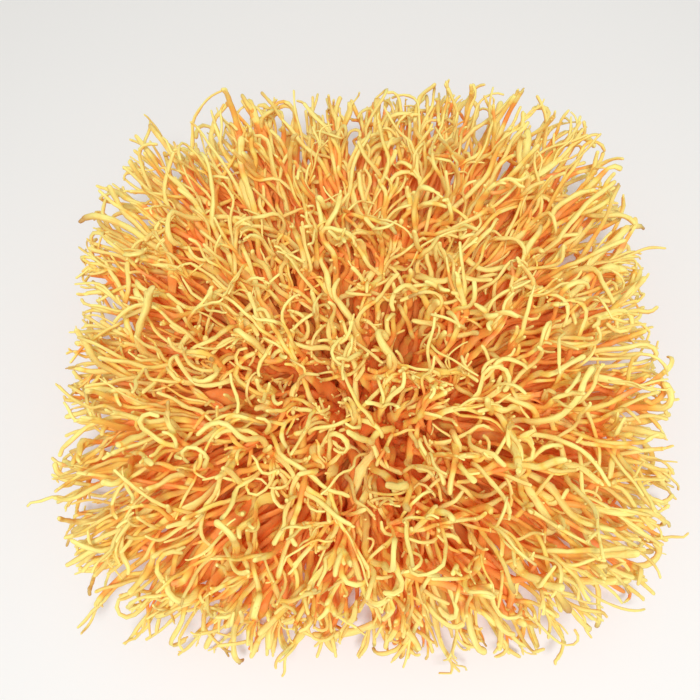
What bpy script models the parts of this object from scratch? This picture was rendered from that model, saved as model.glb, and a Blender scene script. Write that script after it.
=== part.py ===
"""A dried tuft of cultivated cordyceps: slender club-shaped stems that grew as one from a felted mat.

The mat is cut off flat underneath and the tuft stands on that cut. The stems rise from the mat in
bundles that are fused at the foot and fan out like a cushion: upright in the middle, leaning well
outwards round the edge. Each bundle is one closed solid that reaches the tips of its stems.
Metres, +Z up, origin at the middle of the underside.
"""

import math
import random

import bmesh
import bpy
from mathutils import Vector

MM = 0.001

# The mat: a rounded square pad. Each edge wave is (waves round the edge, phase, height).
MAT_HALF_WIDTH = 49.5 * MM
MAT_THICKNESS = 9.0 * MM
MAT_EDGE_ROUND = 3.5 * MM
MAT_EDGE_STEPS = 3
MAT_SQUARENESS = 3.0
MAT_EDGE_WAVES = ((5, 0.6, 0.7 * MM), (9, 2.1, 0.4 * MM))

# The fan of stems, from the mat to the tips.
FOOT_HALF_WIDTH = 45.0 * MM
FOOT_GAP = 0.3 * MM
FOOT_SQUARENESS = 3.0
FOOT_LEAN = math.radians(40.0)
STEM_LENGTH = 58.0 * MM
TIP_SQUARENESS = 4.2
TIP_LEAN = math.radians(92.0)
SWAY = math.radians(3.0)
SWAY_PHASE = 0.8

# The bundles: name, number, and the share of the mat's radius that each ring of them covers.
RINGS = (
    ("bundle_centre", 1, 0.0, 0.24),
    ("bundle_inner", 6, 0.24, 0.50),
    ("bundle_middle", 12, 0.50, 0.76),
    ("bundle_outer", 16, 0.76, 1.0),
)
ANGLE_STEPS = 48
CENTRE_STRIDE = 4

# One bundle's shape. The sides rise through LEVELS, each a share of the stems' length, and the
# crown closes in CROWN_RINGS, each (share of the outline kept, share of the stems' length).
SIDE_GAP = 0.05
FLUTE_DEPTH = 0.10
FOOT_PINCH = 0.12
LEVELS = (0.0, 0.16, 0.34, 0.52, 0.70, 0.88)
CROWN_RINGS = ((0.78, 1.0), (0.40, 1.0))
CROWN_RAGGEDNESS = 0.05
CROWN_VALLEY = 0.07
SHORTEST_REACH = 0.95
SEED = 7

STEM_COLOUR = (0.88, 0.42, 0.07, 1.0)
STEM_ROUGHNESS = 0.7
MAT_COLOUR = (0.80, 0.38, 0.12, 1.0)
MAT_ROUGHNESS = 0.9
SHARP_ANGLE = math.radians(40.0)


def material(name, colour, roughness):
    """A plain matt Principled finish."""
    made = bpy.data.materials.new(name)
    made.use_nodes = True
    shader = made.node_tree.nodes["Principled BSDF"]
    shader.inputs["Base Color"].default_value = colour
    shader.inputs["Roughness"].default_value = roughness
    shader.inputs["Metallic"].default_value = 0.0
    return made


def rounded_square(angle, squareness):
    """How far a rounded square of half width 1 reaches in this direction."""
    across = abs(math.cos(angle)) ** squareness
    along = abs(math.sin(angle)) ** squareness
    return (across + along) ** (-1.0 / squareness)


def mat_radius(angle):
    """The mat's outline: a rounded square with a gently wavy edge."""
    wave = sum(height * math.sin(count * angle + phase) for count, phase, height in MAT_EDGE_WAVES)
    return MAT_HALF_WIDTH * rounded_square(angle, MAT_SQUARENESS) + wave


def fan_point(share, angle, rise):
    """The point at share rise of the length of the stem that stands at share of the mat's radius.

    The stem's lean grows evenly from foot to tip, so the stem is an arc of a circle.
    """
    lean_at_foot = FOOT_LEAN * share
    half_bend = 0.5 * (TIP_LEAN - FOOT_LEAN) * share * rise
    shortening = math.sin(half_bend) / half_bend if half_bend > 0.0 else 1.0
    chord = STEM_LENGTH * rise * shortening
    outward = chord * math.sin(lean_at_foot + half_bend)
    upward = chord * math.cos(lean_at_foot + half_bend)
    turned = angle + SWAY * rise * math.sin(2.0 * angle + SWAY_PHASE)
    foot = FOOT_HALF_WIDTH * share * rounded_square(turned, FOOT_SQUARENESS)
    radius = foot + outward * rounded_square(turned, TIP_SQUARENESS)
    height = MAT_THICKNESS + FOOT_GAP + upward
    return Vector((radius * math.cos(turned), radius * math.sin(turned), height))


def cell_outline(inner, outer, start, steps):
    """A bundle's outline on the mat as (share, angle) points, anticlockwise."""
    step = 2.0 * math.pi / ANGLE_STEPS
    if inner == 0.0:
        return [(outer, i * step) for i in range(0, ANGLE_STEPS, CENTRE_STRIDE)]
    angles = [(start + i) * step for i in range(steps + 1)]
    middle = 0.5 * (inner + outer)
    outer_arc = [(outer, angle) for angle in angles]
    inner_arc = [(inner, angle) for angle in reversed(angles)]
    return outer_arc + [(middle, angles[-1])] + inner_arc + [(middle, angles[0])]


def shrunk(outline, keep_even, keep_odd):
    """The outline pulled in towards its middle; keeping less of the odd points flutes the sides."""
    flat = [Vector((share * math.cos(angle), share * math.sin(angle))) for share, angle in outline]
    middle = sum(flat, Vector((0.0, 0.0))) / len(flat)
    points = []
    for i, point in enumerate(flat):
        keep = keep_odd if i % 2 else keep_even
        pulled = middle + (point - middle) * keep
        points.append((pulled.length, math.atan2(pulled.y, pulled.x)))
    return points


def side_ring(outline, level, reach):
    """The bundle's fluted outline at one level up its side."""
    pinch = 1.0 - FOOT_PINCH * (1.0 - level) ** 2
    keep_even = (1.0 - SIDE_GAP) * pinch
    keep_odd = (1.0 - SIDE_GAP - FLUTE_DEPTH) * pinch
    ring = shrunk(outline, keep_even, keep_odd)
    return [fan_point(share, angle, level * reach) for share, angle in ring]


def crown_ring(outline, keep, level, reach, draw):
    """One ring of the crown, where ragged peaks and valleys take turns."""
    points = []
    for i, (share, angle) in enumerate(shrunk(outline, keep, keep)):
        valley = CROWN_VALLEY if i % 2 else 0.0
        ragged = level * reach - valley - draw.uniform(0.0, CROWN_RAGGEDNESS)
        points.append(fan_point(share, angle, ragged))
    return points


def loft(mesh, rings):
    """Skins the rings from the bottom up, closes the bottom and returns the top ring's vertices."""
    skins = [[mesh.verts.new(point) for point in ring] for ring in rings]
    count = len(skins[0])
    for low, high in zip(skins, skins[1:]):
        for i in range(count):
            j = (i + 1) % count
            mesh.faces.new((low[i], low[j], high[j], high[i]))
    mesh.faces.new(list(reversed(skins[0])))
    return skins[-1]


def add_bundle(name, outline, finish, draw):
    """One bundle of stems: a fluted solid from its foot on the mat up to a ragged crown of tips."""
    reach = draw.uniform(SHORTEST_REACH, 1.0)
    rings = [side_ring(outline, level, reach) for level in LEVELS]
    rings += [crown_ring(outline, keep, level, reach, draw) for keep, level in CROWN_RINGS]
    mesh = bmesh.new()
    top = loft(mesh, rings)
    share, angle = shrunk(outline, 0.0, 0.0)[0]
    peak = mesh.verts.new(fan_point(share, angle, reach))
    for i, corner in enumerate(top):
        mesh.faces.new((corner, top[(i + 1) % len(top)], peak))
    return place(name, mesh, finish)


def mat_ring(inset, height):
    """The mat's outline pulled in by the inset, at one height."""
    ring = []
    for i in range(ANGLE_STEPS):
        angle = 2.0 * math.pi * i / ANGLE_STEPS
        radius = mat_radius(angle) - inset
        ring.append(Vector((radius * math.cos(angle), radius * math.sin(angle), height)))
    return ring


def add_mat(finish):
    """The felted mat: a low pad with a rounded top edge and a flat cut underside."""
    rings = [mat_ring(0.0, 0.0)]
    for i in range(MAT_EDGE_STEPS + 1):
        turn = 0.5 * math.pi * i / MAT_EDGE_STEPS
        inset = MAT_EDGE_ROUND * (1.0 - math.cos(turn))
        height = MAT_THICKNESS - MAT_EDGE_ROUND * (1.0 - math.sin(turn))
        rings.append(mat_ring(inset, height))
    mesh = bmesh.new()
    mesh.faces.new(loft(mesh, rings))
    return place("mat", mesh, finish)


def place(name, mesh, finish):
    """A named object from a bmesh, smooth shaded except along its sharp edges."""
    bmesh.ops.triangulate(mesh, faces=mesh.faces[:])
    bmesh.ops.recalc_face_normals(mesh, faces=mesh.faces[:])
    data = bpy.data.meshes.new(name)
    mesh.to_mesh(data)
    mesh.free()
    data.materials.append(finish)
    data.shade_smooth()
    data.set_sharp_from_angle(angle=SHARP_ANGLE)
    made = bpy.data.objects.new(name, data)
    bpy.context.scene.collection.objects.link(made)
    return made


def centre_on_origin(objects):
    """Moves everything so that the whole tuft's box stands on, and is centred over, the origin."""
    corners = [vert.co for made in objects for vert in made.data.vertices]
    low = [min(corner[axis] for corner in corners) for axis in range(3)]
    high = [max(corner[axis] for corner in corners) for axis in range(3)]
    shift = Vector((-0.5 * (low[0] + high[0]), -0.5 * (low[1] + high[1]), -low[2]))
    for made in objects:
        made.location = shift


def main():
    for old in list(bpy.data.objects):
        bpy.data.objects.remove(old, do_unlink=True)
    draw = random.Random(SEED)
    stem_finish = material("dried_stem", STEM_COLOUR, STEM_ROUGHNESS)
    mat_finish = material("felted_mat", MAT_COLOUR, MAT_ROUGHNESS)
    tuft = [add_mat(mat_finish)]
    for name, number, inner, outer in RINGS:
        steps = ANGLE_STEPS // number
        for i in range(number):
            label = name if number == 1 else f"{name}_{i + 1:02d}"
            outline = cell_outline(inner, outer, i * steps, steps)
            tuft.append(add_bundle(label, outline, stem_finish, draw))
    centre_on_origin(tuft)


main()
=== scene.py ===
"""The looks of a dried cordyceps tuft: over 1500 curling stems grown one by one on a felted mat.

Every stem is walked from its foot on the mat out to its tip, the crowded stems are then eased apart,
and each bundle's stems become one mesh. Lengths are in millimetres until a mesh is made, and angles
are in radians. A rise is a place along a strand, 0 at its foot to 1 at its tip; the rise that a
branch keeps counts from the foot of its main stem.
"""
import math
from collections import namedtuple

import bpy
import numpy as np
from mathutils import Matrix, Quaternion, Vector


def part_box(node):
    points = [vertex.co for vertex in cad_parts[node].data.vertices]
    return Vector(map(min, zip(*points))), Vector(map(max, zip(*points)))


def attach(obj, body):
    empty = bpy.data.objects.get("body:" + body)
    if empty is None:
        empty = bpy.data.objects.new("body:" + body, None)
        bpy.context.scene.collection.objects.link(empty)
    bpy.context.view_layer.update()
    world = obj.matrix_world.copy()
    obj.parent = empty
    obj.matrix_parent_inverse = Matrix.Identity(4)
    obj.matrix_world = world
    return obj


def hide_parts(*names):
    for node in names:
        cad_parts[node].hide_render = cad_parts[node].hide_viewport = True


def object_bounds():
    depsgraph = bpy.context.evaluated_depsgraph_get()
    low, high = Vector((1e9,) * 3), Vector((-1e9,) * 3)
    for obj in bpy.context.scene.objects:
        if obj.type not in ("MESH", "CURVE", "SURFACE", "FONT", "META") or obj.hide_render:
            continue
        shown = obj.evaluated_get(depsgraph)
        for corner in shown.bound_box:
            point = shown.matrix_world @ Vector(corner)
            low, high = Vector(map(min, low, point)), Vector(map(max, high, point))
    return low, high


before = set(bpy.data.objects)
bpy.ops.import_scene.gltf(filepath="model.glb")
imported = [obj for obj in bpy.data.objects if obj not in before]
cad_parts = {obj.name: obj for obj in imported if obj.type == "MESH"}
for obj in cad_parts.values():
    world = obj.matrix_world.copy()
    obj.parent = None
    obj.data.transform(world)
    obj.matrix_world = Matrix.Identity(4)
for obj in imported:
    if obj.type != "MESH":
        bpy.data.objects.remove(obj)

MM = 0.001
TURN = 2.0 * math.pi
UP = np.array([0.0, 0.0, 1.0])
LEVEL = np.array([1.0, 1.0, 0.0])
CAD_BOX = [list(corner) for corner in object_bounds()]
CAD_LOW, CAD_HIGH = (np.array(corner) / MM for corner in CAD_BOX)
CAD_HALF = 0.5 * (CAD_HIGH - CAD_LOW)[:2].mean()
MAT_LOW, MAT_HIGH = (np.array(corner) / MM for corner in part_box("mat"))
MAT_TOP = MAT_HIGH[2]
MIDDLE = np.array([*(0.5 * (MAT_LOW + MAT_HIGH))[:2], MAT_TOP])
HALF_MAT = 0.5 * (MAT_HIGH - MAT_LOW)[:2].mean()
SEED = 11

# The bundles: name, number, and the share of the mat's radius that each ring of them covers.
RINGS = (
    ("bundle_centre", 1, 0.0, 0.24),
    ("bundle_inner", 6, 0.24, 0.50),
    ("bundle_middle", 12, 0.50, 0.76),
    ("bundle_outer", 16, 0.76, 1.0),
)

# The outline that the tips keep to. It draws in with height above OUTLINE_FROM. The front edge is
# pressed back, as against a wall, and spreads a little to both sides of that.
TIP_SQUARENESS = 3.8
OUTLINE_SPARE = 2.0
OUTLINE_FROM = 22.0
OUTLINE_DRAW_IN = 0.30
FRONT_SPREAD = 0.03
FRONT_TRIM = 0.12

# How far past the CAD box the strands may reach, how near the floor they may come, and the room
# inside those limits that is kept for their own thickness.
SIDE_SPARE = 5.0
TOP_SPARE = 7.0
FLOOR_SPARE = 2.0
SKIN_ROOM = 1.5
TIP_ROOM = 2.0


# --- Small sums ---


def unit(vectors):
    """The vectors at length 1."""
    return vectors / np.maximum(np.linalg.norm(vectors, axis=-1, keepdims=True), 1e-9)


def dot(first, second):
    return np.sum(first * second, axis=-1, keepdims=True)


def smooth_step(low, high, value):
    """0 below low, 1 above high, and an even S between them."""
    share = np.clip((value - low) / (high - low), 0.0, 1.0)
    return share * share * (3.0 - 2.0 * share)


def eased(first, last, low, high, value):
    """The first value below low, the last one above high, and an even S between them."""
    return first + (last - first) * smooth_step(low, high, value)


def direction(angle):
    """Level unit vectors (x, y) at the angles."""
    return np.stack([np.cos(angle), np.sin(angle)], axis=-1)


def rounded_square(angle, squareness):
    """How far a rounded square of half width 1 reaches in this direction."""
    across = np.abs(np.cos(angle)) ** squareness
    along = np.abs(np.sin(angle)) ** squareness
    return (across + along) ** (-1.0 / squareness)


def by_chance(draw, chance, low, high, shape):
    """A value from low to high where chance allows it, and 0 elsewhere."""
    return np.where(draw.random(shape) < chance, draw.uniform(low, high, shape), 0.0)


class Strands:
    """A batch of strands with the same number of rings.

    points, side: (strands, rings, 3); wide, thick, rise: (strands, rings), the first two being half
    sizes of the cross-section; tint, sear, bundle, family: one value a strand, where the family is
    the number of the main stem that it belongs to; sides: corners round each ring.
    """

    def __init__(self, points, side, wide, thick, rise, tint, sear, bundle, family, sides):
        self.points, self.side = points, side
        self.wide, self.thick, self.rise = wide, thick, rise
        self.tint, self.sear = tint, sear
        self.bundle, self.family = bundle, family
        self.sides = sides

    @property
    def rings(self):
        return self.points.shape[1]


# --- Growing ---

# The waves of a strand's curvature: their lengths, and how much each one bends it per millimetre.
WAVE_LENGTHS = np.array([48.0, 27.0, 15.0, 8.5])
WAVE_BENDS = np.array([0.035, 0.055, 0.062, 0.070])
ARC_BENDS = (0.025, 0.075)
ARC_STARTS = (0.30, 0.65)
ARC_EASE = 0.12
HOOK_BENDS = (0.10, 0.42)
HOOK_EASE = 0.05
KINK_CHANCE = 0.42
KINKS = (0.3, 1.0)
KINK_PLACES = (0.40, 0.97)
HELPER_RISE = 0.3
LENGTH_TRIES = 3


def make_habit(draw, count, arc_chance, hook_chance, hook_from):
    """How each strand bends: waves of curvature, a long arc, up to two kinks, and a hook at the tip."""
    arc_turn, hook_turn, _, first_side = draw.uniform(0.0, TURN, (4, count))
    arc = by_chance(draw, arc_chance, *ARC_BENDS, count)
    hook = by_chance(draw, hook_chance, *HOOK_BENDS, count)
    kink = by_chance(draw, KINK_CHANCE, *KINKS, (2, count))
    kink_turn = draw.uniform(0.0, TURN, (2, count))
    waves = (count, 2, len(WAVE_BENDS))
    return {
        "phase": draw.uniform(0.0, TURN, waves),
        "bend": draw.normal(0.0, 1.0, waves) * WAVE_BENDS,
        "arc": arc[:, None] * direction(arc_turn),
        "arc_from": draw.uniform(*ARC_STARTS, count),
        "hook": hook[:, None] * direction(hook_turn),
        "hook_from": draw.uniform(*hook_from, count),
        "kink": kink[:, :, None] * direction(kink_turn),
        "kink_at": draw.uniform(*KINK_PLACES, (2, count)),
        "first_side": first_side,
    }


def curvature(habit, along, rise, calm):
    """Each strand's bend about its two axes, per millimetre, this far along it."""
    waves = np.sin(TURN * along[:, None, None] / WAVE_LENGTHS + habit["phase"])
    bend = (waves * habit["bend"]).sum(axis=2) * calm
    bend += habit["arc"] * smooth_step(0.0, ARC_EASE, rise - habit["arc_from"])[:, None]
    bend += habit["hook"] * smooth_step(0.0, HOOK_EASE, rise - habit["hook_from"])[:, None]
    return bend


def walk(start, length, places, habit, goal_at, pull, calm):
    """Walks all the strands forward together and returns their points and side axes.

    goal_at gives the way the strands should point at a rise. The pull is how hard they turn towards
    it and the calm how much of their waves they show, each (at the foot, at the tip, rise from, to).
    """
    count = len(start)
    points = np.empty((count, len(places), 3))
    sides = np.empty((count, len(places), 3))
    points[:, 0] = start
    ahead = goal_at(0.0)
    helper = np.stack([-ahead[:, 1], ahead[:, 0], np.full(count, HELPER_RISE)], axis=1)
    side = unit(np.cross(ahead, helper))
    other = np.cross(ahead, side)
    turn = habit["first_side"][:, None]
    side = np.cos(turn) * side + np.sin(turn) * other
    sides[:, 0] = side
    for k in range(1, len(places)):
        stretch = places[k] - places[k - 1]
        step = (length * stretch)[:, None]
        rise = 0.5 * (places[k] + places[k - 1])
        other = np.cross(ahead, side)
        bend = curvature(habit, rise * length, rise, eased(*calm, rise)) * step
        kinked = np.maximum(1.0 - np.abs(rise - habit["kink_at"]) / stretch, 0.0)
        bend += (habit["kink"] * kinked[..., None]).sum(axis=0)
        towards = eased(*pull, rise) * step * (goal_at(rise) - ahead)
        ahead = unit(ahead + bend[:, :1] * side + bend[:, 1:] * other + towards)
        side = unit(side - dot(side, ahead) * ahead)
        points[:, k] = points[:, k - 1] + step * ahead
        sides[:, k] = side
    return points, sides


def overreach(points):
    """How far past the outline or the top limit each strand reaches: over 1 where it is too long."""
    from_middle = points - MIDDLE
    angle = np.arctan2(from_middle[..., 1], from_middle[..., 0])
    radius = np.hypot(from_middle[..., 0], from_middle[..., 1])
    drawn_in = OUTLINE_DRAW_IN * np.maximum(points[..., 2] - OUTLINE_FROM, 0.0)
    limit = (CAD_HALF + OUTLINE_SPARE - drawn_in) * rounded_square(angle, TIP_SQUARENESS)
    front = np.maximum(-np.sin(angle), 0.0)
    limit *= 1.0 + FRONT_SPREAD * front - FRONT_TRIM * front**4
    headroom = CAD_HIGH[2] + TOP_SPARE - TIP_ROOM - MAT_TOP
    return np.maximum((radius / limit).max(axis=1), ((points[..., 2] - MAT_TOP) / headroom).max(axis=1))


def grow(start, length, *how):
    """Walks the strands, and shortens those that reach too far until they fit."""
    for _ in range(LENGTH_TRIES):
        points, side = walk(start, length, *how)
        length = length / np.maximum(overreach(points), 1.0)
    return points, side, length


# --- The main stems ---
# A share is the distance of a stem's foot from the middle: 0 there, and 1 at the edge of the mat.

STEMS = 1240
SKIRT_STEMS = 330
STEM_RINGS, STEM_SIDES = 28, 7
TIP_BUNCHING = 0.45

# Where they stand: an even scatter, denser outwards, that waves of pushing draw into loose clumps.
FOOT_HALF_WIDTH = HALF_MAT - 4.5
FOOT_SQUARENESS = 3.0
FOOT_DEPTH = 1.5
SCATTER_POWER = 0.46
GOLDEN_SHARE = 3.0 - math.sqrt(5.0)
SCATTER_ERROR = 0.018
CLUMP_WAVES = 4
CLUMP_PUSH = 0.016
CLUMP_FIRST, CLUMP_MORE = 14.0, 5.0
SKIRT_SHARES = (0.90, 1.0)

# How they lean and how long they are. Those near the edge, from EDGE_FROM to EDGE_TO, curl less and
# later.
FOOT_LEAN = math.radians(40.0)
TIP_LEAN = math.radians(92.0)
LEAN_ERROR = 0.13
SKIRT_LEANS = (0.25, 0.75)
HEADING_ERROR, MIDDLE_HEADING_ERROR = 0.16, 0.5
STEM_PULL = (1.0 / 14.0, 1.0 / 75.0, 0.10, 0.75)
STEM_CALM = (0.25, 1.0, 0.15, 0.70)
STEM_HOOKS = (0.70, 0.93)
STEM_ARC_CHANCE, STEM_HOOK_CHANCE = 0.62, 0.5
EDGE_FROM, EDGE_TO = 0.45, 0.95
EDGE_QUIET = 0.5
CROOK_LATER = 0.07
FAN_LENGTH = CAD_HIGH[2] - MAT_TOP
CORNER_MORE = 1.4
EDGE_LONGER = 0.20
LONGEST_TOWARDS = math.radians(-50.0)
LOPSIDED = 0.05
LENGTHS = (0.92, 1.32)
SHORT_CHANCE = 0.13
SHORT_LENGTHS = (0.45, 0.75)

# How thick they are: fused and stout at the foot, slim from SLIM_FROM on, then a taper or a club.
# A ribbon is broad from RIBBON_FROM up to its fork, where it splits into fingers.
MEDIAN_RADIUS, RADIUS_SPREAD = 0.67, 0.20
RADIUS_LIMITS = (0.46, 0.96)
RIBBON_BELOW, CLUB_ABOVE = 0.17, 0.92
FORKS = (0.55, 0.82)
FORK_EASE = 0.10
RIBBON_FROM, RIBBON_TO = 0.10, 0.45
SLIM_FROM, SLIM_FROM_INNER, SLIM_FROM_EDGE = 0.72, -0.14, 0.20
INNER_SHARES, RIM_SHARES = (0.2, 0.7), (0.75, 1.0)
FOOT_STOUTER = 1.9
FOOT_STOUT_TO = 0.05
TAPERS, TAPER_FROM = (0.05, 0.42), 0.6
CLUB_SWELLS, CLUB_FROM, CLUB_TO = (0.10, 0.35), 0.55, 0.85
BULGE, BULGE_LENGTHS = 0.075, (9.0, 5.0)
RING_NOISE = 0.05
STEM_FLATS = (1.05, 1.30)
RIBBON_BREADTH, RIBBON_BREADTHS = 0.9, (0.7, 1.25)
THIN_POWER = 0.55
SEAR_CHANCE, SEARS = 0.14, (0.3, 0.9)


def ring_places(rings, bunching):
    """The rise of each ring; bunching draws the rings together towards the tip."""
    even = np.linspace(0.0, 1.0, rings)
    return even * (1.0 + bunching * (1.0 - even))


STEM_PLACES = ring_places(STEM_RINGS, TIP_BUNCHING)


def scatter_feet(draw):
    """The share and angle at which each stem stands: a scatter in loose clumps, and the skirt."""
    order = (np.arange(STEMS) + 0.5) / STEMS
    flat = (order**SCATTER_POWER)[:, None] * direction(np.arange(STEMS) * math.pi * GOLDEN_SHARE)
    flat += draw.normal(0.0, SCATTER_ERROR, flat.shape)
    for wave in range(CLUMP_WAVES):
        turn, phase = draw.uniform(0.0, TURN, 2)
        across = flat @ direction(turn)
        push = CLUMP_PUSH * np.sin(across * (CLUMP_FIRST + CLUMP_MORE * wave) + phase)
        flat += push[:, None] * direction(turn)
    skirt = draw.uniform(0.0, TURN, SKIRT_STEMS)
    skirt_share = draw.uniform(*SKIRT_SHARES, SKIRT_STEMS)
    share = np.concatenate([np.minimum(np.hypot(flat[:, 0], flat[:, 1]), 1.0), skirt_share])
    return share, np.concatenate([np.arctan2(flat[:, 1], flat[:, 0]), skirt])


def bundle_of(share, angle):
    """The number of the bundle, in the order of the CAD's nodes, in which each foot stands."""
    found = np.zeros(len(share), int)
    first = 0
    turn = np.mod(angle, TURN) / TURN
    for _, number, inner, outer in RINGS:
        inside = (share >= inner) & ((share < outer) | (outer == 1.0))
        found[inside] = first + np.minimum((turn[inside] * number).astype(int), number - 1)
        first += number
    return found


def stem_lengths(draw, share, angle):
    """The length each stem would have with no limits: longer outwards, with some short ones."""
    count = len(share)
    corner = 1.0 + CORNER_MORE * share**2 * (rounded_square(angle, TIP_SQUARENESS) - 1.0)
    lopsided = 1.0 + LOPSIDED * share * np.cos(angle - LONGEST_TOWARDS)
    longer = 1.0 + EDGE_LONGER * share**2
    length = FAN_LENGTH * corner * lopsided * longer * draw.uniform(*LENGTHS, count)
    short = draw.random(count) < SHORT_CHANCE
    return np.where(short, length * draw.uniform(*SHORT_LENGTHS, count), length)


def grow_stems(draw):
    """The main stems: their points, side axes, lengths, shares and angles."""
    share, angle = scatter_feet(draw)
    count = len(share)
    foot_radius = FOOT_HALF_WIDTH * share * rounded_square(angle, FOOT_SQUARENESS)
    foot = foot_radius[:, None] * direction(angle)
    start = MIDDLE + np.column_stack([foot, np.full(count, -FOOT_DEPTH)])
    heading = angle + draw.normal(0.0, HEADING_ERROR, count)
    heading += (1.0 - share) * draw.normal(0.0, MIDDLE_HEADING_ERROR, count)
    lean_error = draw.normal(0.0, LEAN_ERROR, count)
    lean_error[STEMS:] += draw.uniform(*SKIRT_LEANS, SKIRT_STEMS)
    habit = make_habit(draw, count, STEM_ARC_CHANCE, STEM_HOOK_CHANCE, STEM_HOOKS)
    edge = smooth_step(EDGE_FROM, EDGE_TO, share)
    habit["hook_from"] += CROOK_LATER * edge
    habit["bend"] *= (1.0 - EDGE_QUIET * edge)[:, None, None]
    habit["arc"] *= (1.0 - EDGE_QUIET * edge)[:, None]
    length = stem_lengths(draw, share, angle)

    def goal_at(rise):
        """Upright in the middle of the tuft, and flat out at its edge."""
        lean = share * (FOOT_LEAN + (TIP_LEAN - FOOT_LEAN) * rise) + lean_error
        return np.column_stack([np.sin(lean)[:, None] * direction(heading), np.cos(lean)])

    points, side, length = grow(start, length, STEM_PLACES, habit, goal_at, STEM_PULL, STEM_CALM)
    return points, side, length, share, angle


def stem_sizes(draw, length, share):
    """Half width and half thickness along each stem, which are ribbons, and where those fork."""
    count = len(length)
    rise = STEM_PLACES[None, :]
    radius = draw.lognormal(math.log(MEDIAN_RADIUS), RADIUS_SPREAD, count)
    radius = np.clip(radius, *RADIUS_LIMITS)[:, None]
    kind = draw.random(count)[:, None]
    ribbon, club = kind < RIBBON_BELOW, kind > CLUB_ABOVE
    fork = draw.uniform(*FORKS, count)[:, None]
    broad = smooth_step(RIBBON_FROM, RIBBON_TO, rise) * ribbon
    broad = broad * (1.0 - smooth_step(fork, fork + FORK_EASE, rise))
    inner, edge = smooth_step(*INNER_SHARES, share), smooth_step(*RIM_SHARES, share)
    slim_from = (SLIM_FROM + SLIM_FROM_INNER * inner + SLIM_FROM_EDGE * edge)[:, None]
    foot = 1.0 + FOOT_STOUTER * (1.0 - smooth_step(FOOT_STOUT_TO, slim_from, rise))
    taper = 1.0 - draw.uniform(*TAPERS, (count, 1)) * smooth_step(TAPER_FROM, 1.0, rise)
    swell = 1.0 + draw.uniform(*CLUB_SWELLS, (count, 1)) * smooth_step(CLUB_FROM, CLUB_TO, rise)
    body = radius * foot * np.where(club, swell, taper)
    for wave in BULGE_LENGTHS:
        phase = draw.uniform(0.0, TURN, (count, 1))
        body = body * (1.0 + BULGE * np.sin(TURN * rise * length[:, None] / wave + phase))
    body = body * (1.0 + RING_NOISE * draw.normal(0.0, 1.0, body.shape))
    flat = draw.uniform(*STEM_FLATS, (count, 1))
    flat = flat + RIBBON_BREADTH * draw.uniform(*RIBBON_BREADTHS, (count, 1)) * broad
    return body * flat, body / flat**THIN_POWER, ribbon[:, 0], fork[:, 0]


def make_stems(draw):
    """The batch of main stems, and which of them are ribbons that fork, and where."""
    points, side, length, share, angle = grow_stems(draw)
    count = len(points)
    wide, thick, ribbon, fork = stem_sizes(draw, length, share)
    rise = np.broadcast_to(STEM_PLACES, (count, STEM_RINGS)).copy()
    sear = by_chance(draw, SEAR_CHANCE, *SEARS, count)
    tint = draw.random(count)
    bundle = bundle_of(share, angle)
    stems = Strands(points, side, wide, thick, rise, tint, sear, bundle, np.arange(count), STEM_SIDES)
    return stems, ribbon, fork


# --- What grows on the stems ---

# One kind of branch: rings and sides, the angle it makes with its stem, its length, its size (a
# share of its stem's thickness, or millimetres for a sprout), and how often it ends in a hook.
Kind = namedtuple("Kind", "rings sides tilt length size hook_chance")
SIDE_BRANCH = Kind(14, 6, (0.35, 0.95), (9.0, 26.0), (0.75, 1.0), 0.5)
FINGER = Kind(14, 6, (0.12, 0.6), (7.0, 20.0), (0.85, 1.15), 0.55)
TIP_STUB = Kind(7, 6, (0.5, 1.2), (1.6, 5.0), (0.65, 0.95), 0.1)
SPROUT = Kind(7, 6, (0.3, 1.1), (3.0, 9.0), (0.38, 0.62), 0.2)

BRANCH_CHANCE, SECOND_BRANCH_CHANCE = 0.34, 0.25
BRANCH_ZONE = (int(0.30 * STEM_RINGS), int(0.78 * STEM_RINGS))
FINGERS = (2, 4)
FINGER_PLACES = (0.55, 1.0)
FINGER_SWING_ERROR = 0.5
MOST_RINGS_BELOW_FORK = 4
STUB_CHANCE, STUBS = 0.34, (1, 4)
STUB_ZONE = (0.84, 0.97)
RINGS_AFTER_STUB = 3
SPROUTS = 560
SPROUT_CROWDING = 1.5
SPROUT_ZONE = (int(0.22 * STEM_RINGS), int(0.62 * STEM_RINGS))

BRANCH_ARC_CHANCE = 0.5
BRANCH_HOOKS = (0.45, 0.85)
BRANCH_PULL = (1.0 / 3.0, 1.0 / 60.0, 0.15, 0.55)
BRANCH_CALM = (1.3, 1.3, 0.0, 1.0)
BRANCH_TURNED_BY = 0.35
BRANCH_FIRST = 0.8
BRANCH_FULL_BY = 0.3
BRANCH_TAPER, BRANCH_TAPER_FROM = 0.30, 0.5
BRANCH_BULGE, BRANCH_BULGE_LENGTH = 0.07, 4.5
BRANCH_FLATS = (1.0, 1.25)


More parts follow.
